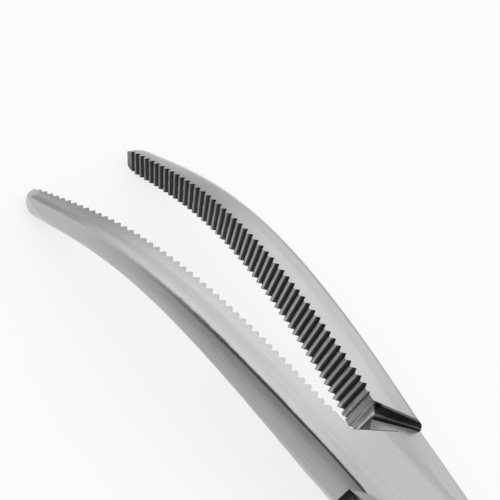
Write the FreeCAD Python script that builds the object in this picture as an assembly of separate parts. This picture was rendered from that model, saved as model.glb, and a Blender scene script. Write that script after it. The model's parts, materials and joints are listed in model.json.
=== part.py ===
import FreeCAD, Part
import math
import os
from FreeCAD import Vector

# Curved box-lock artery forceps, fully serrated, shown with the jaws part open.
# Three pieces: the boxed half, whose two cheeks form the lock, the tenon half that
# passes through the box, and the rivet on which the tenon half turns.
# It is modelled closed, with the rivet axis along Z and the jaws towards +X, then
# the halves are swung open and the whole is laid on its jaw tips and finger rings.
# All sizes are in millimetres and degrees.

# Lengths along the forceps, from the rivet
jaw_reach = 49.55           # rivet to jaw tip, measured straight along the forceps
ring_end = 92.4             # rivet to the back of the finger rings
lock_front = 12.4           # rivet to the crotch of the jaws
slot_mouth = 8.8            # rivet to where the slot opens in the outer side

# Lock
lock_height = 4.9           # thickness over both cheeks
lock_half_width = 4.0       # middle of the lock to its outer side, at the crotch
lock_bulge = 0.4            # how much wider each side is beside the rivet
cheek_thickness = 1.2
cheek_corner = 8.9          # rivet to where the cheek's front edge would meet the side
cheek_free_side = 3.25      # middle to the corner between front edge and free side
cheek_hollow = 0.9          # how far the free side curves in from its chord
cheek_break = 0.15          # bevel along the front edge and the free side
slide_clearance = 0.05      # tenon to cheek, each face
edge_radius = 0.5           # long outer edges at the lock
side_radius = 6.5           # belly of the outer sides
rivet_radius = 1.5
rivet_head_radius = 2.1     # peened end, flush in its countersink
rivet_head_depth = 0.6
rivet_clearance = 0.03

# Shoulders of the tenon half, where full height steps down to the tenon
shoulder_inner = 13.7       # rivet to the shoulder's upper edge, at the middle
shoulder_outer = 9.5        # rivet to the shoulder's upper edge, at the outer side
shoulder_foot_inner = 12.15  # the same for its foot, which slopes less
shoulder_foot_outer = 9.3
shoulder_break = 0.2        # bevel along the shoulder's upper edge

# Jaws
jaw_drop = 10.8             # how far the tips curve below the lock
jaw_tip_angle = 35.6        # slope of the jaws at the tip
root_handle = 21.7          # how long the curve stays level from the lock
tip_handle = 12.6           # how long it stays straight at the tip
tip_height = 2.15
tip_half_width = 1.87
height_sag = 0.13           # the taper in height runs slightly hollow
width_swell = 0.48          # the taper in width runs full
tip_edge_radius = 1.0
nose_length = 1.7           # length over which the tip rounds off
nose_width_left = 0.3       # share of the width left at the very end
nose_height_left = 0.42     # share of the height left at the very end
nose_top_share = 0.33       # share of the lost height that comes off the upper edge
nose_corner = 0.25          # rounding of the tip at the jaw face
nose_gap = 0.03             # middle to the face in front of the last groove, closed
jaw_bow = 0.39              # gap from the middle to each jaw face at the crotch
mesh_depth = 0.11           # how far the crests enter each other at the tip, closed

# Serrations
tooth_pitch = 0.8
tooth_depth = 0.45
tooth_land = 0.16           # flat left on each crest
smooth_length = 1.27        # toothless stretch in front of the crotch
nose_margin = 0.5           # from the last groove to the very tip, at least
tenon_phase = 0.0           # where the grooves start, as a share of the pitch
boxed_phase = 0.5           # half a pitch on, so that the crests meet grooves
run_out = 0.5               # share of the full depth in the groove next to the crotch

# Shanks
shank_height = 3.9
shank_width = 3.6
shank_spread = 5.2          # middle of the forceps to the shank line at the rings
shank_radius = 1.25         # outer edges
shank_inner_radius = 0.9    # inner edges
neck_length = 9.0           # from the crotch to where the shank has left the lock's form
neck_spread = 0.13          # share of the spread reached where the lock's form ends
waist_lead = 16.0           # from the waist of the shank to the ratchet
waist_spread = 0.7          # share of the spread reached at the waist

# Finger rings
ring_hole_length = 21.0
ring_hole_width = 17.0
ring_band = 3.6
ring_height = 3.8
ring_edge = 1.4             # rounding of the edges
ring_edge_bands = 2         # narrow bands that make each rounding
ring_blend = 0.5            # how much slimmer the shank is than the ring's band

# Ratchet
ratchet_distance = 62.0     # rivet to the middle of the ratchet bars
ratchet_width = 4.2
ratchet_gap = 0.6           # end of each bar to the other shank, closed
ratchet_height = 1.8
ratchet_clearance = 0.04    # between the crests of the two bars
ratchet_pitch = 1.3
ratchet_tooth = 0.5
ratchet_crest = 0.25        # flat left on each ratchet tooth
ratchet_teeth = 4
ratchet_nose = 0.4          # bevel on the end of each bar

# How it lies
opening_angle = 13.6        # between the halves as shown

# Working allowances of the cutters and blanks, not sizes of the forceps
jaw_stations = 6            # sections in the jaw's loft
nose_stations = 5
lock_stations = 4
blank_overhang = 0.8        # how far a jaw blank reaches past the middle
cutter_overhang = 0.6       # how far a cutter reaches past what it cuts
bare_corner = 0.05          # inner corners of sections that are cut away or fused
lock_stock = 0.3            # stock on the lock's faces at the middle, ground away flat
least_belly = 1.05          # smallest belly radius, as a share of half the height
clear_of_lock = 4.0         # how far cutters reach past the lock, in its half widths
level_reach = 20.0          # tilts that are tried when the forceps are laid down, in degrees
level_steps = 24            # halvings of that range


def half_height():
    return lock_height / 2.0


def blend(root, tip, share, swell=0.0):
    return root + (tip - root) * share + swell * 4.0 * share * (1.0 - share)


def prism(points, low, high):
    """Upright prism over a plan outline."""
    corners = [Vector(x, y, low) for x, y in points]
    face = Part.Face(Part.makePolygon(corners + corners[:1]))
    return face.extrude(Vector(0, 0, high - low))


def drafted_prism(foot, top, low, high):
    """Prism whose sides lean from the foot outline to the top outline."""
    wires = []
    for points, z in ((foot, low), (top, high)):
        corners = [Vector(x, y, z) for x, y in points]
        wires.append(Part.makePolygon(corners + corners[:1]))
    return Part.makeLoft(wires, True, True)


def line_x(inner, outer, y):
    """X at height y of the line from inner, at the middle, to outer, at the side."""
    return inner + (outer - inner) * y / lock_half_width


def half_turned(shape):
    """The same shape turned half a turn about the rivet."""
    turned = shape.copy()
    turned.rotate(Vector(0, 0, 0), Vector(0, 0, 1), 180)
    return turned


def bar_section(origin, along, outward, inner, outer, height, corner, inner_corner, stock=0.0):
    """Closed outline across a bar: flat top and bottom, bellied and rounded outer
    side from inner to outer, measured along outward from origin. Stock raises the
    inner end of both flats, where they are ground afterwards."""
    up = outward.cross(along)
    if up.z < 0:
        up = up.negative()

    def place(across, rise):
        return origin + outward * across + up * rise

    half = height / 2.0
    belly = max(side_radius * height / lock_height, half * least_belly)
    belly_centre = outer - belly
    corner_across = belly_centre + math.sqrt((belly - corner) ** 2 - (half - corner) ** 2)
    reach = math.hypot(corner_across - belly_centre, half - corner)
    tangent_across = belly_centre + belly * (corner_across - belly_centre) / reach
    tangent_rise = belly * (half - corner) / reach
    angle = 0.5 * (math.pi / 2 + math.atan2(half - corner, corner_across - belly_centre))
    mid_across = corner_across + corner * math.cos(angle)
    mid_rise = half - corner + corner * math.sin(angle)
    soft = inner_corner * (1.0 - math.sqrt(0.5))

    def arc(a, b, c):
        return Part.Arc(place(*a), place(*b), place(*c)).toShape()

    def line(a, b):
        return Part.LineSegment(place(*a), place(*b)).toShape()

    top_in = (inner + inner_corner, half + stock)
    top_out = (corner_across, half)
    side_top = (tangent_across, tangent_rise)
    side_low = (tangent_across, -tangent_rise)
    low_out = (corner_across, -half)
    low_in = (inner + inner_corner, -half - stock)
    in_low = (inner, inner_corner - half - stock)
    in_top = (inner, half + stock - inner_corner)
    edges = [
        line(top_in, top_out),
        arc(top_out, (mid_across, mid_rise), side_top),
        arc(side_top, (outer, 0.0), side_low),
        arc(side_low, (mid_across, -mid_rise), low_out),
        line(low_out, low_in),
        arc(low_in, (inner + soft, soft - half - stock), in_low),
        line(in_low, in_top),
        arc(in_top, (inner + soft, half + stock - soft), top_in),
    ]
    return Part.Wire(edges)


def jaw_curve():
    """Upper edge of the jaws in the plane of the rivet: level at the lock, then
    swept down to the tip."""
    slope = math.radians(jaw_tip_angle)
    top = half_height()
    tip = Vector(jaw_reach, 0, top - jaw_drop)
    back = Vector(-math.cos(slope), 0, math.sin(slope)) * tip_handle
    curve = Part.BezierCurve()
    curve.setPoles([
        Vector(lock_front, 0, top),
        Vector(lock_front + root_handle, 0, top),
        tip + back,
        tip,
    ])
    return curve.toShape()


def jaw_frame(curve, distance):
    """Point, direction and downward normal of the jaw curve at a distance along it."""
    parameter = curve.getParameterByLength(distance)
    along = curve.tangentAt(parameter)
    down = Vector(0, 1, 0).cross(along).negative()
    if down.z > 0:
        down = down.negative()
    return curve.valueAt(parameter), along, down


def face_offset(x):
    """Distance of each jaw face from the middle: bowed at the root, meeting at the tip."""
    share = (x - lock_front) / (jaw_reach - lock_front)
    return jaw_bow * (1.0 - share) - mesh_depth / 2.0 * share


def jaw_section(side, curve, distance):
    """Outline across the jaw at a distance along its curve. Within the nose it
    shrinks as a quarter ellipse, to the shares that are left at the very end."""
    share = distance / curve.Length
    point, along, down = jaw_frame(curve, distance)
    height = blend(lock_height, tip_height, share, -height_sag)
    width = blend(lock_half_width - jaw_bow, tip_half_width, share, width_swell)
    corner = blend(edge_radius, tip_edge_radius, share)
    into_nose = max(0.0, 1.0 - (curve.Length - distance) / nose_length)
    lost = 1.0 - math.sqrt(max(0.0, 1.0 - into_nose ** 2))
    width = width * (1.0 - lost * (1.0 - nose_width_left))
    lost_height = height * lost * (1.0 - nose_height_left)
    height = height - lost_height
    middle = point + down * (lost_height * nose_top_share + height / 2.0)
    corner = corner * (1.0 - lost * (1.0 - nose_height_left))
    outer = face_offset(point.x) + width
    across = Vector(0, side, 0)
    return bar_section(middle, along, across, -blank_overhang, outer, height, corner, bare_corner)


def smooth_loft(wires):
    """Solid through the sections, as cubic surfaces."""
    return Part.makeLoft(wires, True, False, False, 3)


def jaw_blank(side, curve):
    """Smooth jaw on one side: sections across the curve, trimmed to the jaw face."""
    nose_start = curve.Length - nose_length
    body = [nose_start * index / jaw_stations for index in range(jaw_stations + 1)]
    nose = []
    for index in range(nose_stations + 1):
        angle = 0.5 * math.pi * index / nose_stations
        nose.append(nose_start + nose_length * math.sin(angle))
    jaw = smooth_loft([jaw_section(side, curve, distance) for distance in body])
    tip = smooth_loft([jaw_section(side, curve, distance) for distance in nose])
    start = lock_front - blank_overhang
    reach = jaw_reach + lock_height
    beyond = [
        (start, side * face_offset(start)),
        (reach, side * face_offset(reach)),
        (reach, -side * lock_half_width),
        (start, -side * lock_half_width),
    ]
    depth = jaw_drop + 2.0 * lock_height
    return jaw.fuse(tip).cut(prism(beyond, -depth, lock_height))


def rounded_nose(jaw, side, curve, phase):
    """Set the face in front of the last groove back to clear the other jaw, and round
    the corner between it and the end of the tip."""
    tip, along, down = jaw_frame(curve, curve.Length)
    outward = Vector(0, -side, 0)
    corner = tip - outward * nose_gap
    last = corner - along * (curve.Length - groove_distance(groove_count(curve) - 1, phase))
    start = corner - along * nose_corner
    finish = corner - outward * nose_corner
    centre = start - outward * nose_corner
    middle = centre + (along + outward) * (nose_corner * math.sqrt(0.5))
    over = cutter_overhang
    outline = Part.makePolygon([
        finish,
        finish + along * over,
        corner + (along + outward) * over,
        last + outward * over,
        last,
        start,
    ])
    rounding = Part.Arc(start, middle, finish).toShape()
    face = Part.Face(Part.Wire([rounding] + outline.Edges))
    return jaw.cut(across_jaw(face, down))


def across_jaw(face, down):
    """Cutter across the whole height of a jaw, from a face at its upper edge."""
    face.translate(down * -cutter_overhang)
    return face.extrude(down * (lock_height + 2.0 * cutter_overhang))


def groove_count(curve):
    return int((curve.Length - nose_margin - smooth_length) / tooth_pitch)


def groove_distance(index, phase):
    """How far along the curve of the jaw a groove lies. Phase moves the grooves by a
    share of the pitch, so that the crests of one jaw meet the grooves of the other."""
    return smooth_length + tooth_pitch * (0.5 + phase + index)


def serrations(side, curve, phase):
    """Grooves across the jaw face, square to the curve of the jaw."""
    across = Vector(0, side, 0)
    slope = (tooth_pitch - tooth_land) / 2.0 / tooth_depth
    cutters = []
    for index in range(groove_count(curve)):
        depth = tooth_depth
        if index == 0:
            depth = tooth_depth * run_out
        point, along, down = jaw_frame(curve, groove_distance(index, phase))
        root = point + across * (face_offset(point.x) + depth)
        mouth = root - across * (depth + cutter_overhang)
        half_mouth = slope * (depth + cutter_overhang)
        corners = [root, mouth + along * half_mouth, mouth - along * half_mouth, root]
        cutters.append(across_jaw(Part.Face(Part.makePolygon(corners)), down))
    return cutters


def lock_block():
    """Both sides of the lock as one bar, from crotch to crotch, widest at the rivet,
    with its upper and lower faces ground flat."""
    far = clear_of_lock * lock_half_width
    sides = []
    for side in (1, -1):
        wires = []
        for index in range(lock_stations + 1):
            x = lock_front * (2.0 * index / lock_stations - 1.0)
            swell = math.cos(0.5 * math.pi * x / lock_front) ** 2
            outer = lock_half_width + lock_bulge * swell
            wires.append(bar_section(
                Vector(x, 0, 0), Vector(1, 0, 0), Vector(0, side, 0),
                -blank_overhang, outer, lock_height, edge_radius, bare_corner, lock_stock))
        sides.append(smooth_loft(wires))
    plate = [(-far, -far), (far, -far), (far, far), (-far, far)]
    ground = prism(plate, -half_height(), half_height())
    return sides[0].fuse(sides[1]).common(ground).removeSplitter()


def shank(side):
    """Shank from the lock to its finger ring. It rounds off and tapers as far as the
    ratchet, then runs straight into the inner side of the ring and ends inside it."""
    root_middle = (lock_half_width + jaw_bow) / 2.0
    root_width = lock_half_width - jaw_bow
    waist = ratchet_distance - waist_lead
    neck = lock_front + neck_length
    neck_share = neck_length / (waist - lock_front)
    neck_middle = blend(root_middle, shank_spread, neck_spread)
    neck_height = blend(lock_height, shank_height, neck_share)
    waist_middle = blend(root_middle, shank_spread, waist_spread)
    end_width = ring_band - ring_blend
    end_height = ring_height - ring_blend
    stations = [
        (lock_front, root_middle, root_width, lock_height, edge_radius, bare_corner),
        (neck, neck_middle, root_width, neck_height, shank_radius, shank_inner_radius),
        (waist, waist_middle, shank_width, shank_height, shank_radius, shank_inner_radius),
        (ratchet_distance, shank_spread, end_width, end_height, shank_radius, shank_inner_radius),
    ]
    wires = []
    for back, middle, width, height, corner, inner_corner in stations:
        inner = middle - width / 2.0
        outer = middle + width / 2.0
        wires.append(bar_section(
            Vector(-back, 0, 0), Vector(-1, 0, 0), Vector(0, side, 0),
            inner, outer, height, corner, inner_corner))
    straight = Part.Face(wires[-1]).extrude(Vector(ratchet_distance - ring_centre_x(), 0, 0))
    return Part.makeLoft(wires, True, True).fuse(straight)


def ring_centre_x():
    """Distance of the ring's centre behind the rivet."""
    return ring_end - ring_band - ring_hole_length / 2.0


def ring_offset():
    """Distance of the ring's centre from the middle, forceps closed."""
    return shank_spread + ring_hole_width / 2.0 + ring_band / 2.0


def finger_ring(side):
    """Oval finger ring. Its outer and inner walls are stacks of ovals, and each
    rounded edge is made of a few narrow bands."""
    half = ring_height / 2.0
    upper = []
    for index in range(ring_edge_bands + 1):
        angle = 0.5 * math.pi * index / ring_edge_bands
        rise = half - ring_edge + ring_edge * math.sin(angle)
        inset = ring_edge * (1.0 - math.cos(angle))
        upper.append((rise, inset))
    lower = [(-rise, inset) for rise, inset in reversed(upper)]
    outer = []
    inner = []
    for rise, inset in lower + upper:
        centre = Vector(-ring_centre_x(), side * ring_offset(), rise)
        for wall, grow in ((outer, ring_band - inset), (inner, inset)):
            oval = Part.Ellipse(centre, ring_hole_length / 2.0 + grow, ring_hole_width / 2.0 + grow)
            wall.append(Part.Wire(oval.toShape()))
    return Part.makeLoft(outer, True, True).cut(Part.makeLoft(inner, True, True))


def ratchet_bar(side, level):
    """Ratchet bar reaching across the middle. Level is +1 for the upper bar, whose
    teeth look down, and -1 for the lower one, whose teeth look up."""
    back = -ratchet_distance - ratchet_width / 2.0
    crest = ratchet_clearance
    rise = ratchet_clearance + ratchet_height
    root = shank_spread
    end = ratchet_gap + shank_width / 2.0 - shank_spread
    profile = [(root, rise), (end + ratchet_nose, rise), (end, rise - ratchet_nose), (end, crest)]
    reach = end + ratchet_nose
    for _ in range(ratchet_teeth):
        profile.append((reach, crest))
        profile.append((reach, crest + ratchet_tooth))
        profile.append((reach + ratchet_pitch - ratchet_crest, crest))
        reach += ratchet_pitch
    profile.append((root, crest))
    corners = [Vector(back, side * y, level * z) for y, z in profile]
    face = Part.Face(Part.makePolygon(corners + corners[:1]))
    return face.extrude(Vector(ratchet_width, 0, 0))


def slot_run():
    """How far the slanting ends of the slot run back for each millimetre across."""
    return (lock_front - slot_mouth) / (lock_half_width - jaw_bow)


def cheek_cutter(edge_run, grow):
    """Face that trims a cheek to its free outline: a straight front edge and a hollow
    side. It lies at the height of the rivet's middle, and grow widens it."""
    far = clear_of_lock * lock_half_width
    slant = grow * math.hypot(1.0, edge_run)
    root = lock_front - slant
    side = -cheek_free_side + grow
    front = Vector(root + edge_run * (side - jaw_bow), side, 0)
    back = Vector(-slot_mouth, -lock_half_width + grow, 0)
    middle = (front + back) / 2.0 + Vector(0, cheek_hollow, 0)
    outline = Part.makePolygon([
        back,
        Vector(-slot_mouth, -far, 0),
        Vector(2.0 * lock_front, -far, 0),
        Vector(2.0 * lock_front, jaw_bow, 0),
        Vector(root, jaw_bow, 0),
        front,
    ])
    hollow = Part.Arc(front, middle, back).toShape()
    return Part.Wire(outline.Edges + [hollow])


def bevel_ring(edge_run):
    """Cutter for the bevel along the free edges of the upper cheek."""
    wires = []
    for grow, rise in ((-cheek_break, -2.0 * cheek_break), (cheek_break, 0.0)):
        wire = cheek_cutter(edge_run, grow)
        wire.translate(Vector(0, 0, half_height() + rise))
        wires.append(wire)
    return Part.makeLoft(wires, True, True)


def boxed_half(curve):
    """The half with the two cheeks: its jaw is on +Y and its shank on -Y."""
    far = clear_of_lock * lock_half_width
    top = half_height()
    edge_run = (lock_front - cheek_corner) / (lock_half_width + jaw_bow)
    trim = Part.Face(cheek_cutter(edge_run, 0.0))
    trim.translate(Vector(0, 0, -lock_height))
    trim = trim.extrude(Vector(0, 0, 2.0 * lock_height))
    bevel = bevel_ring(edge_run)
    cutters = [trim, bevel, bevel.mirror(Vector(0, 0, 0), Vector(0, 0, 1))]
    block = lock_block().cut(cutters + [half_turned(cutter) for cutter in cutters])
    run = slot_run()
    slot = prism(
        [
            (lock_front + run * (far + jaw_bow), -far),
            (lock_front - run * (far - jaw_bow), far),
            (-lock_front - run * (far + jaw_bow), far),
            (-lock_front + run * (far - jaw_bow), -far),
        ],
        cheek_thickness - top, top - cheek_thickness)
    jaw = rounded_nose(jaw_blank(1, curve), 1, curve, boxed_phase)
    body = block.fuse([jaw, shank(-1), finger_ring(-1), ratchet_bar(-1, 1)])
    body = body.cut([slot, rivet()])
    return body.cut(serrations(1, curve, boxed_phase)).removeSplitter()


def tenon_half(curve):
    """The half that passes through the box: its jaw is on -Y and its shank on +Y."""
    far = clear_of_lock * lock_half_width
    top = half_height()
    tenon_top = top - cheek_thickness - slide_clearance
    run = slot_run()
    plan = prism(
        [
            (lock_front, -far),
            (lock_front, -jaw_bow),
            (lock_front - run * (far + jaw_bow), far),
            (-lock_front, far),
            (-lock_front, jaw_bow),
            (-lock_front + run * (far + jaw_bow), -far),
        ],
        -lock_height, lock_height)
    block = lock_block().common(plan)
    jaw = rounded_nose(jaw_blank(-1, curve), -1, curve, tenon_phase)
    body = block.fuse([jaw, shank(1), finger_ring(1), ratchet_bar(1, -1)])
    shoulder_top = []
    shoulder_wall = []
    shoulder_foot = []
    for turn in (1, -1):
        for y in (far, -far):
            upper = line_x(shoulder_inner, shoulder_outer, -y)
            lower = line_x(shoulder_foot_inner, shoulder_foot_outer, -y)
            shoulder_top.append((turn * upper, turn * y))
            shoulder_wall.append((turn * (upper - shoulder_break), turn * y))
            shoulder_foot.append((turn * lower, turn * y))
    recess = drafted_prism(shoulder_foot, shoulder_wall, tenon_top, top - shoulder_break)
    recess = recess.fuse([
        drafted_prism(shoulder_wall, shoulder_top, top - shoulder_break, top),
        prism(shoulder_top, top, lock_height),
    ])
    lower_recess = recess.mirror(Vector(0, 0, 0), Vector(0, 0, 1))
    bore_radius = rivet_radius + rivet_clearance
    bore = Part.makeCylinder(bore_radius, 2 * lock_height, Vector(0, 0, -lock_height))
    body = body.cut([recess, lower_recess, bore])
    return body.cut(serrations(-1, curve, tenon_phase)).removeSplitter()


def rivet():
    """Rivet through both cheeks, its peened ends flush with them."""
    top = half_height()
    neck = top - rivet_head_depth
    profile = [
        Vector(0, 0, -top),
        Vector(rivet_head_radius, 0, -top),
        Vector(rivet_radius, 0, -neck),
        Vector(rivet_radius, 0, neck),
        Vector(rivet_head_radius, 0, top),
        Vector(0, 0, top),
    ]
    face = Part.Face(Part.makePolygon(profile + profile[:1]))
    return face.revolve(Vector(0, 0, 0), Vector(0, 0, 1), 360)


def lowest(shape):
    return shape.optimalBoundingBox(False, False).ZMin


def lying_tilt(curve):
    """Angle about Y at which jaw tips and finger rings touch the table together."""
    jaw = rounded_nose(jaw_blank(1, curve), 1, curve, boxed_phase)
    ring = finger_ring(-1)
    for piece in (jaw, ring):
        piece.rotate(Vector(0, 0, 0), Vector(0, 0, 1), opening_angle / 2.0)
    low = -level_reach
    high = level_reach
    for _ in range(level_steps):
        middle = (low + high) / 2.0
        levels = []
        for piece in (jaw, ring):
            turned = piece.copy()
            turned.rotate(Vector(0, 0, 0), Vector(0, 1, 0), middle)
            levels.append(lowest(turned))
        if levels[0] > levels[1]:
            low = middle
        else:
            high = middle
    return (low + high) / 2.0


def main():
    os.makedirs("parts", exist_ok=True)
    curve = jaw_curve()
    pieces = {
        "boxed_half": boxed_half(curve),
        "tenon_half": tenon_half(curve),
        "lock_rivet": rivet(),
    }
    swing = {
        "boxed_half": opening_angle / 2.0,
        "tenon_half": -opening_angle / 2.0,
        "lock_rivet": opening_angle / 2.0,
    }
    tilt = lying_tilt(curve)
    for name, shape in pieces.items():
        shape.rotate(Vector(0, 0, 0), Vector(0, 0, 1), swing[name])
        shape.rotate(Vector(0, 0, 0), Vector(0, 1, 0), tilt)
    whole = Part.makeCompound(list(pieces.values())).optimalBoundingBox(False, False)
    shift = Vector(-(whole.XMin + whole.XMax) / 2.0, -(whole.YMin + whole.YMax) / 2.0, -whole.ZMin)
    for name, shape in pieces.items():
        shape.translate(shift)
        shape.exportStep("parts/%s.step" % name)
        print(name, shape.ShapeType, len(shape.Solids), shape.isValid(), round(shape.Volume, 2))
    print("tilt", tilt, "shift", shift, "size", whole.XLength, whole.YLength, whole.ZLength)


main()
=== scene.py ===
import json
import math

import bpy
from mathutils import Euler, Matrix, Vector

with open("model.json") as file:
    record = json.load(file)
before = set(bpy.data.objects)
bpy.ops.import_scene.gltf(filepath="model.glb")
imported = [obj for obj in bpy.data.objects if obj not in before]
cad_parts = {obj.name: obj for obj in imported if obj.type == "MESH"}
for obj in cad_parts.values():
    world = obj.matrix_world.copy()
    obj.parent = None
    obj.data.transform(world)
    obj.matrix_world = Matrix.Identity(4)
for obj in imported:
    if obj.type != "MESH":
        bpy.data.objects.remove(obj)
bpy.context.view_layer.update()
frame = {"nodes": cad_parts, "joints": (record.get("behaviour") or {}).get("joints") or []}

# Curved artery forceps in satin steel, lying part open on a pale table.
# The scene is in metres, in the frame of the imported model. The patterns on the steel are in
# millimetres, in each half's own frame: x from the rivet to the jaw's tip, y across, z up.

lockHinge = frame["joints"][0]
millimetre = 0.001


# Link a socket to a value, or set it where the value is a plain number
def feed(tree, value, socket):
    if isinstance(value, (int, float)):
        socket.default_value = value
    else:
        tree.links.new(value, socket)


def newGroup(name, inputs, outputs):
    group = bpy.data.node_groups.new(name, "ShaderNodeTree")
    for direction, sockets in (("INPUT", inputs), ("OUTPUT", outputs)):
        for label, kind in sockets:
            socketType = "NodeSocket" + kind
            group.interface.new_socket(name=label, in_out=direction, socket_type=socketType)
    inlet = group.nodes.new("NodeGroupInput")
    outlet = group.nodes.new("NodeGroupOutput")
    return group, inlet.outputs, outlet.inputs


# One step of arithmetic on sockets or plain numbers
def calc(tree, operation, *values):
    node = tree.nodes.new("ShaderNodeMath")
    node.operation = operation
    for index, value in enumerate(values):
        feed(tree, value, node.inputs[index])
    return node.outputs["Value"]


# first * second * ..., as for masks that all have to hold, on sockets or plain numbers
def product(tree, first, *others):
    for other in others:
        first = calc(tree, "MULTIPLY", first, other)
    return first


# first + share * (last - first)
def between(tree, share, first, last):
    return calc(tree, "MULTIPLY_ADD", share, last - first, first)


# Smooth step from first to last as the value goes from low to high
def ramp(tree, value, low, high, first=0.0, last=1.0):
    node = tree.nodes.new("ShaderNodeMapRange")
    node.interpolation_type = "SMOOTHSTEP"
    tree.links.new(value, node.inputs["Value"])
    node.inputs["From Min"].default_value = low
    node.inputs["From Max"].default_value = high
    node.inputs["To Min"].default_value = first
    node.inputs["To Max"].default_value = last
    return node.outputs["Result"]


# shade * (1 - mask * (1 - left)): where the mask is full, that share of the shade is left
def darken(tree, shade, mask, left):
    loss = product(tree, mask, calc(tree, "SUBTRACT", 1.0, left))
    return product(tree, shade, calc(tree, "SUBTRACT", 1.0, loss))


def splitVector(tree, vector):
    node = tree.nodes.new("ShaderNodeSeparateXYZ")
    tree.links.new(vector, node.inputs["Vector"])
    return node.outputs["X"], node.outputs["Y"], node.outputs["Z"]


def joinVector(tree, x, y, z):
    node = tree.nodes.new("ShaderNodeCombineXYZ")
    for name, value in (("X", x), ("Y", y), ("Z", z)):
        feed(tree, value, node.inputs[name])
    return node.outputs["Vector"]


# The jaws in millimetres. Their line drops by drop * share ** power, where share goes from 0
# at the crotch to 1 at the tip, and the toothed face lies a little off the middle, by the bow.
jawForm = {
    "crotch": 12.4,
    "tip": 49.55,
    "drop": 10.8,
    "power": 2.85,
    "bowAtCrotch": 0.39,
    "bowAtTip": -0.055,
    "toothDepth": 0.45,
}
jawLength = jawForm["tip"] - jawForm["crotch"]


def jawShare(tree, x):
    return calc(tree, "DIVIDE", calc(tree, "SUBTRACT", x, jawForm["crotch"]), jawLength)


# Place and facing of a point in its own half's frame, the place with the jaws' drop taken
# out, and the slope of the drop there
def makePlaceGroup():
    group, inlet, outlet = newGroup(
        "ownPlace",
        [("Centre", "Vector"), ("Turn", "Vector")],
        [("Place", "Vector"), ("Straightened", "Vector"), ("Facing", "Vector"), ("Slope", "Float")],
    )
    source = group.nodes.new("ShaderNodeTexCoord")
    place = group.nodes.new("ShaderNodeMapping")
    place.vector_type = "TEXTURE"
    place.inputs["Scale"].default_value = (millimetre, millimetre, millimetre)
    group.links.new(source.outputs["Object"], place.inputs["Vector"])
    group.links.new(inlet["Centre"], place.inputs["Location"])
    group.links.new(inlet["Turn"], place.inputs["Rotation"])
    facing = group.nodes.new("ShaderNodeMapping")
    facing.vector_type = "TEXTURE"
    group.links.new(source.outputs["Normal"], facing.inputs["Vector"])
    group.links.new(inlet["Turn"], facing.inputs["Rotation"])
    x, y, z = splitVector(group, place.outputs["Vector"])
    drop, power = jawForm["drop"], jawForm["power"]
    share = calc(group, "MAXIMUM", jawShare(group, x), 0.0)
    fall = product(group, calc(group, "POWER", share, power), drop)
    slope = calc(group, "POWER", share, power - 1.0)
    slope = product(group, slope, drop * power / jawLength)
    straightened = joinVector(group, x, y, calc(group, "ADD", z, fall))
    group.links.new(place.outputs["Vector"], outlet["Place"])
    group.links.new(straightened, outlet["Straightened"])
    group.links.new(facing.outputs["Vector"], outlet["Facing"])
    group.links.new(slope, outlet["Slope"])
    return group


# Painted shade on the milled teeth and the lock: the steel's colour made darker where shade and
# dark reflections fall, each as the share of the plain steel's brightness that is left
paintedShade = {
    "handleFlank": 0.16,    # painted shade on the flank of a tooth that faces the handles
    "tipFlank": 0.85,       # and on the one that faces the tip
    "root": 0.5,            # what is left of either flank's brightness at the bottom of a cut, as painted shade deepening into it
    "paintedCrestLight": 0.8,       # painted highlight on the handleward flank beside its crest, as the share of brightness left there
    "crestLightAtCrotch": 0.26,   # millimetres from a crest down to where that painted highlight ends
    "crestLightAtTip": 0.05,
    "toothedFace": 0.52,    # painted shade on the crests and the smooth stretch behind the teeth
    "tip": 0.74,            # painted shade on the jaw at its tip, beside the teeth
    "shoulder": 0.05,       # painted shade on the wall where the tenon half steps down from its full height
    "shoulderBand": 0.35,   # painted reflection: a lighter band near the wall's foot
    "shoulderBandLevel": 1.55,
    "shoulderRim": 0.5,     # painted highlight on the wall's upper edge
    "tenonFloor": 0.45,     # painted shade on what the shoulder steps down to
    # painted shade on the ends of the slot in the lock
    "slotEnd": 0.05,
    "recess": 0.08,         # painted shade in the deepest corners of the lock
    "recessReach": 1.6,     # millimetres to the walls that make a corner
    "recessSamples": 8,     # rays that look for them
    "cheek": 0.84,          # painted shade on the lock's upper face
    "cheekBand": 0.94,      # and a band of painted shade along its side away from the half's own jaw
}

# Where each mask starts and where it is full: in millimetres, as a share of the jaw's length,
# or as the part of the surface's normal that points a given way
maskEdges = {
    "toothReach": (0.675, 0.54),      # depth behind the crests
    "jawStart": (12.4, 12.7),
    "facesOtherJaw": (0.2, 0.4),
    "squareToOtherJaw": (0.75, 0.95),
    "facesHandles": (-0.3, -0.6),
    "facesTip": (0.3, 0.6),
    "cutDepth": (0.0, jawForm["toothDepth"]),
    "crestLightFade": (1.0, 0.3),               # share of the painted highlight's depth
    "besideTeeth": (2.6, 0.4),
    "nearTip": (0.35, 0.9),
    "shoulderStart": (8.5, 8.8),
    "shoulderEnd": (13.8, 13.7),
    "shoulderFacesHandles": (-0.15, -0.35),
    "shoulderFacesOtherJaw": (0.1, 0.3),
    "shoulderFoot": (1.1, 1.2),
    "shoulderBand": (0.18, 0.0),
    "shoulderRim": (2.23, 2.35),
    "floorFacesUp": (0.7, 0.85),
    "floorStart": (10.0, 11.6),
    "floorEnd": (13.9, 13.8),
    "floorBottom": (1.0, 1.1),
    "floorTop": (1.4, 1.3),
    "slotFacesAlong": (0.25, 0.4),
    "slotFacesLevel": (0.6, 0.4),
    "slotLength": (12.6, 12.4),
    "slotHeight": (1.27, 1.25),
    "recessOpenness": (0.65, 0.15),
    "recessEnd": (14.2, 13.6),
    "cheekFacesUp": (0.5, 0.8),
    "cheekLength": (17.0, 9.0),
    "cheekBand": (-1.7, -2.3),
}
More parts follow.
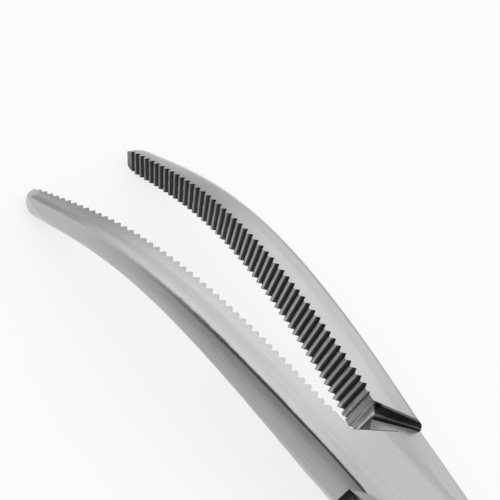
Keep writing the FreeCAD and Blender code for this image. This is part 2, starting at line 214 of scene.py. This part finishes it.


# How much painted shade the milled places get. A tooth's flank is where the surface faces the other
# jaw and also along the jaw's line; its painted shade deepens from its crest to its root.
def makePaintedShadeGroup():
    inputs = [("Place", "Vector"), ("Facing", "Vector"), ("Slope", "Float"), ("Side", "Float")]
    inputs += [("Handle Flank", "Float"), ("Tip Flank", "Float"), ("Root", "Float")]
    inputs += [("Face", "Float"), ("Tip", "Float"), ("Shoulder", "Float")]
    outputs = [("Shade", "Float"), ("Toothed Face", "Float")]
    group, inlet, outlet = newGroup("paintedShade", inputs, outputs)

    def mask(value, name):
        return ramp(group, value, *maskEdges[name])

    x, y, z = splitVector(group, inlet["Place"])
    faceX, faceY, faceZ = splitVector(group, inlet["Facing"])
    reach = calc(group, "ABSOLUTE", x)
    size = calc(group, "ABSOLUTE", z)
    across = product(group, y, inlet["Side"])
    inward = product(group, faceY, inlet["Side"], -1.0)
    share = jawShare(group, x)
    bow = between(group, share, jawForm["bowAtCrotch"], jawForm["bowAtTip"])
    depth = calc(group, "SUBTRACT", across, bow)

    # part of the normal along the jaw's line: (faceX - slope * faceZ) / sqrt(1 + slope ** 2)
    slope = inlet["Slope"]
    along = calc(group, "SUBTRACT", faceX, product(group, faceZ, slope))
    squared = calc(group, "MULTIPLY_ADD", slope, slope, 1.0)
    along = calc(group, "DIVIDE", along, calc(group, "SQRT", squared))

    # teeth: painted shade on flanks and faces, deeper towards the roots
    toothed = product(group, mask(depth, "toothReach"), mask(x, "jawStart"))
    toothed = product(group, toothed, mask(inward, "facesOtherJaw"))
    toothedFace = product(group, toothed, mask(inward, "squareToOtherJaw"))
    fade = darken(group, 1.0, mask(depth, "cutDepth"), inlet["Root"])
    # painted highlight along each handleward flank beside its crest, wider at the crotch than at
    # the tip
    crestLight = between(group, share, paintedShade["crestLightAtCrotch"], paintedShade["crestLightAtTip"])
    crestLight = mask(calc(group, "DIVIDE", depth, crestLight), "crestLightFade")
    crestLight = product(group, crestLight, paintedShade["paintedCrestLight"])
    handleFlank = calc(group, "MAXIMUM", product(group, inlet["Handle Flank"], fade), crestLight)
    tipFlank = product(group, inlet["Tip Flank"], fade)
    shade = darken(group, 1.0, product(group, toothed, mask(along, "facesHandles")), handleFlank)
    shade = darken(group, shade, product(group, toothed, mask(along, "facesTip")), tipFlank)
    # painted shade on the faces turned to the other jaw
    shade = darken(group, shade, toothedFace, inlet["Face"])
    # painted shade near the tip, beside the teeth
    tip = product(group, mask(depth, "besideTeeth"), mask(share, "nearTip"))
    shade = darken(group, shade, tip, inlet["Tip"])

    # shoulder's wall: painted shade, with a painted reflection as a band and a painted highlight on
    # its rim
    wall = product(group, mask(x, "shoulderStart"), mask(x, "shoulderEnd"))
    wall = product(group, wall, mask(faceX, "shoulderFacesHandles"))
    wall = product(group, wall, mask(inward, "shoulderFacesOtherJaw"), mask(size, "shoulderFoot"))
    off = calc(group, "SUBTRACT", z, paintedShade["shoulderBandLevel"])
    band = mask(calc(group, "ABSOLUTE", off), "shoulderBand")
    band = product(group, band, paintedShade["shoulderBand"])
    rim = product(group, mask(z, "shoulderRim"), paintedShade["shoulderRim"])
    lightest = calc(group, "MAXIMUM", calc(group, "MAXIMUM", inlet["Shoulder"], band), rim)
    shade = darken(group, shade, wall, lightest)

    # painted shade on the tenon's floor, the slot's ends and the cheek
    floor = product(group, mask(faceZ, "floorFacesUp"), mask(x, "floorStart"), mask(x, "floorEnd"))
    floor = product(group, floor, mask(z, "floorBottom"), mask(z, "floorTop"))
    shade = darken(group, shade, floor, paintedShade["tenonFloor"])
    slot = mask(calc(group, "ABSOLUTE", faceX), "slotFacesAlong")
    slot = product(group, slot, mask(calc(group, "ABSOLUTE", faceZ), "slotFacesLevel"))
    slot = product(group, slot, mask(reach, "slotLength"), mask(size, "slotHeight"))
    shade = darken(group, shade, slot, paintedShade["slotEnd"])
    cheek = product(group, mask(faceZ, "cheekFacesUp"), mask(reach, "cheekLength"))
    shade = darken(group, shade, cheek, paintedShade["cheek"])
    cheekBand = product(group, cheek, mask(across, "cheekBand"))
    shade = darken(group, shade, cheekBand, paintedShade["cheekBand"])

    # painted shade in the corners of the lock, where walls close in within the reach
    hollow = group.nodes.new("ShaderNodeAmbientOcclusion")
    hollow.samples = paintedShade["recessSamples"]
    hollow.inputs["Distance"].default_value = paintedShade["recessReach"] * millimetre
    corner = product(group, mask(hollow.outputs["AO"], "recessOpenness"), mask(x, "recessEnd"))
    shade = darken(group, shade, corner, paintedShade["recess"])

    group.links.new(shade, outlet["Shade"])
    group.links.new(toothedFace, outlet["Toothed Face"])
    return group


# Brush lines, bands and grain: how each noise is made, how much it adds, and the part of
# its range that is used
brushPattern = {
    "lineDetail": 3.0,
    "lineRoughness": 0.6,
    "lineShare": 0.3,
    "lineRange": (0.3, 0.7),
    "bandScale": 0.04,       # as a share of the lines' scale
    "bandDetail": 2.0,
    "bandShare": 0.45,
    "bandRange": (0.38, 0.62),
    "grainDetail": 1.0,
    "grainShare": 0.25,
    "grainRange": (0.3, 0.7),
    "scratchScale": 5.0,     # upright scratches on the toothed face
    "scratchStretch": 0.06,
    "scratchDetail": 3.0,
    "scratchRange": (0.35, 0.65),
    "scratchShade": 0.5,
    "noiseRoughness": 0.5,
}


def newNoise(tree, place, scale, detail, roughness=brushPattern["noiseRoughness"]):
    noise = tree.nodes.new("ShaderNodeTexNoise")
    noise.inputs["Detail"].default_value = detail
    noise.inputs["Roughness"].default_value = roughness
    tree.links.new(place, noise.inputs["Vector"])
    feed(tree, scale, noise.inputs["Scale"])
    return noise.outputs["Fac"]


# Fine lengthwise brush lines and a fine grain over broad, faint bands: the lines and bands
# are noise at (stretch * x, y, z), the grain is noise at (x, y, z)
def makeBrushedGroup():
    inputs = [("Place", "Vector"), ("Scale", "Float"), ("Stretch", "Float")]
    inputs += [("Base", "Color"), ("Streak", "Color"), ("Shade", "Float")]
    inputs += [("Toothed Face", "Float"), ("Roughness", "Float"), ("Spread", "Float")]
    outputs = [("Colour", "Color"), ("Roughness", "Float"), ("Height", "Float")]
    group, inlet, outlet = newGroup("brushedFinish", inputs, outputs)

    def strength(noise, name):
        used = ramp(group, noise, *brushPattern[name + "Range"])
        return product(group, used, brushPattern[name + "Share"])

    x, y, z = splitVector(group, inlet["Place"])
    stretched = joinVector(group, product(group, x, inlet["Stretch"]), y, z)
    detail, roughness = brushPattern["lineDetail"], brushPattern["lineRoughness"]
    line = newNoise(group, stretched, inlet["Scale"], detail, roughness)
    bandScale = product(group, inlet["Scale"], brushPattern["bandScale"])
    band = newNoise(group, stretched, bandScale, brushPattern["bandDetail"])
    grain = newNoise(group, inlet["Place"], inlet["Scale"], brushPattern["grainDetail"])
    pattern = calc(group, "ADD", strength(line, "line"), strength(band, "band"))
    pattern = calc(group, "ADD", pattern, strength(grain, "grain"))
    colour = group.nodes.new("ShaderNodeMix")
    colour.data_type = "RGBA"
    group.links.new(pattern, colour.inputs["Factor"])
    group.links.new(inlet["Base"], colour.inputs["A"])
    group.links.new(inlet["Streak"], colour.inputs["B"])
    upright = joinVector(group, x, y, product(group, z, brushPattern["scratchStretch"]))
    scale, detail = brushPattern["scratchScale"], brushPattern["scratchDetail"]
    scratch = newNoise(group, upright, scale, detail)
    scratch = ramp(group, scratch, *brushPattern["scratchRange"])
    scratch = product(group, scratch, inlet["Toothed Face"])
    tone = darken(group, inlet["Shade"], scratch, brushPattern["scratchShade"])
    shaded = group.nodes.new("ShaderNodeVectorMath")
    shaded.operation = "SCALE"
    group.links.new(colour.outputs["Result"], shaded.inputs[0])
    group.links.new(tone, shaded.inputs["Scale"])
    group.links.new(shaded.outputs["Vector"], outlet["Colour"])
    gloss = product(group, calc(group, "SUBTRACT", pattern, 0.5), inlet["Spread"])
    group.links.new(calc(group, "ADD", gloss, inlet["Roughness"]), outlet["Roughness"])
    group.links.new(line, outlet["Height"])
    return group


# Both halves
satinSteel = {
    "colour": (0.70, 0.702, 0.705),
    "streakColour": (0.53, 0.532, 0.537),
    "roughness": 0.29,
    "roughnessSpread": 0.08,
    "linesPerMillimetre": 14.0,
    "lineStretch": 0.03,
    "bumpHeight": 0.0015,    # millimetres
}

# The rivet is duller and coarser
rivetSteel = {
    "colour": (0.62, 0.62, 0.62),
    "streakColour": (0.52, 0.52, 0.52),
    "roughness": 0.32,
    "roughnessSpread": 0.12,
    "linesPerMillimetre": 9.0,
    "lineStretch": 0.05,
    "bumpHeight": 0.003,
}


# Turn of a half's own frame: laid down about Y as the hinge is, then swung about the hinge
def ownTurn(swing):
    tilt = math.atan2(lockHinge["axis"][0], lockHinge["axis"][2])
    turn = Matrix.Rotation(tilt, 3, "Y") @ Matrix.Rotation(swing, 3, "Z")
    return turn.to_euler("XYZ")


# Side is 1 on the boxed half and -1 on the tenon half, and 0 leaves the painted shades off
def makeSteel(name, finish, swing, side):
    material = bpy.data.materials.new(name)
    material.use_nodes = True
    nodes, links = material.node_tree.nodes, material.node_tree.links
    shader = nodes["Principled BSDF"]
    shader.inputs["Metallic"].default_value = 1.0
    place = nodes.new("ShaderNodeGroup")
    place.node_tree = placeGroup
    place.inputs["Centre"].default_value = lockHinge["pos_m"]
    place.inputs["Turn"].default_value = ownTurn(swing)
    brushed = nodes.new("ShaderNodeGroup")
    brushed.node_tree = brushedGroup
    brushed.inputs["Scale"].default_value = finish["linesPerMillimetre"]
    brushed.inputs["Stretch"].default_value = finish["lineStretch"]
    brushed.inputs["Base"].default_value = (*finish["colour"], 1.0)
    brushed.inputs["Streak"].default_value = (*finish["streakColour"], 1.0)
    brushed.inputs["Shade"].default_value = 1.0
    brushed.inputs["Toothed Face"].default_value = 0.0
    brushed.inputs["Roughness"].default_value = finish["roughness"]
    brushed.inputs["Spread"].default_value = finish["roughnessSpread"]
    links.new(place.outputs["Straightened"], brushed.inputs["Place"])
    # painted shade and painted highlights of the teeth and the lock, on the halves only
    if side:
        cuts = nodes.new("ShaderNodeGroup")
        cuts.node_tree = paintedShadeGroup
        cuts.inputs["Side"].default_value = side
        cuts.inputs["Handle Flank"].default_value = paintedShade["handleFlank"]
        cuts.inputs["Tip Flank"].default_value = paintedShade["tipFlank"]
        cuts.inputs["Root"].default_value = paintedShade["root"]
        cuts.inputs["Face"].default_value = paintedShade["toothedFace"]
        cuts.inputs["Tip"].default_value = paintedShade["tip"]
        cuts.inputs["Shoulder"].default_value = paintedShade["shoulder"]
        for label in ("Place", "Facing", "Slope"):
            links.new(place.outputs[label], cuts.inputs[label])
        for label in ("Shade", "Toothed Face"):
            links.new(cuts.outputs[label], brushed.inputs[label])
    links.new(brushed.outputs["Colour"], shader.inputs["Base Color"])
    links.new(brushed.outputs["Roughness"], shader.inputs["Roughness"])
    bump = nodes.new("ShaderNodeBump")
    bump.inputs["Strength"].default_value = 1.0
    bump.inputs["Distance"].default_value = finish["bumpHeight"] * millimetre
    links.new(brushed.outputs["Height"], bump.inputs["Height"])
    links.new(bump.outputs["Normal"], shader.inputs["Normal"])
    return material


def dress(node, material):
    piece = frame["nodes"][node]
    piece.data.materials.clear()
    piece.data.materials.append(material)


def makeSheet(name, corners):
    mesh = bpy.data.meshes.new(name)
    mesh.from_pydata(corners, [], [(0, 1, 2, 3)])
    sheet = bpy.data.objects.new(name, mesh)
    bpy.context.scene.collection.objects.link(sheet)
    material = bpy.data.materials.new(name)
    material.use_nodes = True
    mesh.materials.append(material)
    return sheet, material.node_tree


tableTop = {
    "colour": (0.97, 0.97, 0.97),
    "roughness": 0.9,
    "whiteShare": 0.7,    # plain white in what is seen of the table, so that its shadow stays pale
    "size": 3.0,
}


# The camera and reflections see the table mixed with plain white, and it lights the steel
# as a pale matt surface
def makeTable():
    half = tableTop["size"] / 2.0
    corners = [(-half, -half, 0.0), (half, -half, 0.0), (half, half, 0.0), (-half, half, 0.0)]
    tree = makeSheet("tableTop", corners)[1]
    shader = tree.nodes["Principled BSDF"]
    shader.inputs["Base Color"].default_value = (*tableTop["colour"], 1.0)
    shader.inputs["Roughness"].default_value = tableTop["roughness"]
    shader.inputs["Specular IOR Level"].default_value = 0.0
    path = tree.nodes.new("ShaderNodeLightPath")
    seen = calc(tree, "MAXIMUM", path.outputs["Is Camera Ray"], path.outputs["Is Glossy Ray"])
    seen = calc(tree, "MAXIMUM", seen, path.outputs["Is Transmission Ray"])
    white = tree.nodes.new("ShaderNodeEmission")
    white.inputs["Strength"].default_value = 1.0
    mixed = tree.nodes.new("ShaderNodeMixShader")
    tree.links.new(product(tree, seen, tableTop["whiteShare"]), mixed.inputs[0])
    tree.links.new(shader.outputs[0], mixed.inputs[1])
    tree.links.new(white.outputs[0], mixed.inputs[2])
    tree.links.new(mixed.outputs[0], tree.nodes["Material Output"].inputs["Surface"])


darkCard = {
    "nearShade": 0.60,    # brightness along the edge beside the jaws, and further off
    "farShade": 0.03,
    "tipShade": 0.82,     # and beside the tips
    "fadeAway": (0.007, 0.018),
    "fadeToTip": (0.045, 0.071),
    "left": 0.0,
    "right": 0.085,
    "nearEdge": 0.006,
    "farEdge": 0.115,
    "low": 0.0005,
    "high": 0.100,
}


# Sloping card beside the jaws that only reflections see, as the dark side of a studio. Its
# brightness falls away from the jaws and rises again towards the tips.
def makeDarkCard():
    left, right = darkCard["left"], darkCard["right"]
    near, far = darkCard["nearEdge"], darkCard["farEdge"]
    low, high = darkCard["low"], darkCard["high"]
    corners = [(left, near, low), (right, near, low), (right, far, high), (left, far, high)]
    card, tree = makeSheet("darkCard", corners)
    card.visible_camera = False
    card.visible_diffuse = False
    card.visible_shadow = False
    source = tree.nodes.new("ShaderNodeTexCoord")
    x, y = splitVector(tree, source.outputs["Object"])[:2]
    away = ramp(tree, y, *darkCard["fadeAway"], darkCard["nearShade"], darkCard["farShade"])
    tipward = ramp(tree, x, *darkCard["fadeToTip"])
    lift = calc(tree, "SUBTRACT", darkCard["tipShade"], away)
    glow = tree.nodes.new("ShaderNodeEmission")
    tree.links.new(calc(tree, "MULTIPLY_ADD", lift, tipward, away), glow.inputs["Strength"])
    tree.links.new(glow.outputs[0], tree.nodes["Material Output"].inputs["Surface"])


paleSky = {
    "overhead": 0.97,
    "horizon": 0.18,
    "fullFrom": 0.62,     # sine of the elevation from which the sky is as bright as overhead
    "farSide": 0.6,       # least brightness on the -Y side, reached where y is at farReach
    "farReach": -0.6,
}


# White sky, even overhead and fading towards the horizon, less so on the -Y side
def makeSky():
    world = bpy.data.worlds.new("paleSky")
    bpy.context.scene.world = world
    world.use_nodes = True
    tree = world.node_tree
    source = tree.nodes.new("ShaderNodeTexCoord")
    y, z = splitVector(tree, source.outputs["Generated"])[1:]
    horizon = paleSky["horizon"]
    strength = ramp(tree, z, 0.0, paleSky["fullFrom"], horizon, paleSky["overhead"])
    farSide = ramp(tree, y, 0.0, paleSky["farReach"], horizon, paleSky["farSide"])
    background = tree.nodes["Background"]
    background.inputs["Color"].default_value = (1.0, 1.0, 1.0, 1.0)
    brightest = calc(tree, "MAXIMUM", strength, farSide)
    tree.links.new(brightest, background.inputs["Strength"])


softbox = {
    "place": (-0.4, -0.15, 0.5),
    "aim": (0.03, 0.0, 0.0),
    "size": 0.5,
    "power": 0.35,
}


def makeSoftbox():
    lamp = bpy.data.lights.new("softbox", "AREA")
    lamp.size = softbox["size"]
    lamp.energy = softbox["power"]
    holder = bpy.data.objects.new("softbox", lamp)
    holder.location = softbox["place"]
    aim = Vector(softbox["aim"]) - Vector(softbox["place"])
    holder.rotation_euler = aim.to_track_quat("-Z", "Y").to_euler()
    bpy.context.scene.collection.objects.link(holder)


photoCamera = {
    "place": (0.01623, 0.07258, 0.09785),
    "turn": (38.78, -20.775, -131.451),  # degrees about X, Y and Z
    "lens": 96.59,
    "sensor": 36.0,
    "clipStart": 0.001,
    "clipEnd": 10.0,
}


def makeCamera():
    data = bpy.data.cameras.new("photoCamera")
    data.lens = photoCamera["lens"]
    data.sensor_width = photoCamera["sensor"]
    data.clip_start = photoCamera["clipStart"]
    data.clip_end = photoCamera["clipEnd"]
    camera = bpy.data.objects.new("photoCamera", data)
    camera.location = photoCamera["place"]
    camera.rotation_euler = Euler([math.radians(angle) for angle in photoCamera["turn"]])
    bpy.context.scene.collection.objects.link(camera)
    bpy.context.scene.camera = camera


placeGroup = makePlaceGroup()
paintedShadeGroup = makePaintedShadeGroup()
brushedGroup = makeBrushedGroup()
print("place, milled cuts and brushed finish worked out")

# At rest each half is swung half of the way that is left until the jaws close
halfOpening = math.radians(lockHinge["range_deg"][1]) / 2.0
dress("boxed_half", makeSteel("boxedSteel", satinSteel, halfOpening, 1.0))
dress("tenon_half", makeSteel("tenonSteel", satinSteel, -halfOpening, -1.0))
dress("lock_rivet", makeSteel("peenedSteel", rivetSteel, halfOpening, 0.0))
print("steel on the halves and the rivet")

makeTable()
makeDarkCard()
makeSky()
makeSoftbox()
makeCamera()
bpy.context.scene.view_settings.view_transform = "Standard"
print("table, light and camera")
